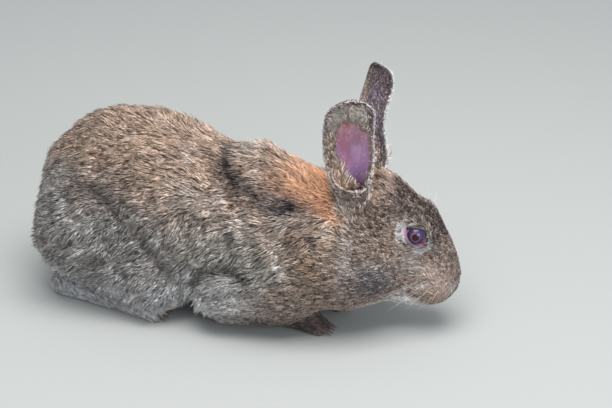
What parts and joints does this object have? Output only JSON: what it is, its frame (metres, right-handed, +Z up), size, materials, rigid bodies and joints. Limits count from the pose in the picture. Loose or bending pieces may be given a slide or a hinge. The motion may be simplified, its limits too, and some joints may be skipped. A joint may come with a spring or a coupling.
{
  "type": "rabbit",
  "caption": "Life-size agouti domestic rabbit in a grazing crouch: high round rump, folded haunches, paws under the chest, head low and ears upright.",
  "frame": {"origin": "floor level, below the middle of the whole animal's box", "axes": "+X towards the nose, +Y the animal's left side, +Z up"},
  "size_m": [0.375, 0.2224, 0.227],
  "materials": {
    "coat_brown": "short dense fur, brown ticked with black, matte",
    "coat_grey": "short dense fur, grey shading to grey-white below, matte",
    "tail_coat": "soft fluffy fur, off-white below and dark above, matte",
    "ear_skin": "thin pink skin inside, fine short fur outside",
    "eye": "wet, dark brown",
    "claw": "smooth brown horn"
  },
  "bodies": {
    "root": {"trunk": "coat_brown", "neck": "coat_brown", "head": "coat_brown", "tail": "tail_coat", "hindleg_left": "coat_grey", "hindleg_right": "coat_grey", "foreleg_left": "coat_grey", "foreleg_right": "coat_grey", "ear_left": "ear_skin", "ear_right": "ear_skin", "eye_left": "eye", "eye_right": "eye", "claw_hind_left_1": "claw", "claw_hind_left_2": "claw", "claw_hind_left_3": "claw", "claw_hind_left_4": "claw", "claw_hind_right_1": "claw", "claw_hind_right_2": "claw", "claw_hind_right_3": "claw", "claw_hind_right_4": "claw", "claw_fore_left_1": "claw", "claw_fore_left_2": "claw", "claw_fore_left_3": "claw", "claw_fore_left_4": "claw", "claw_fore_right_1": "claw", "claw_fore_right_2": "claw", "claw_fore_right_3": "claw", "claw_fore_right_4": "claw"}
  },
  "joints": []
}
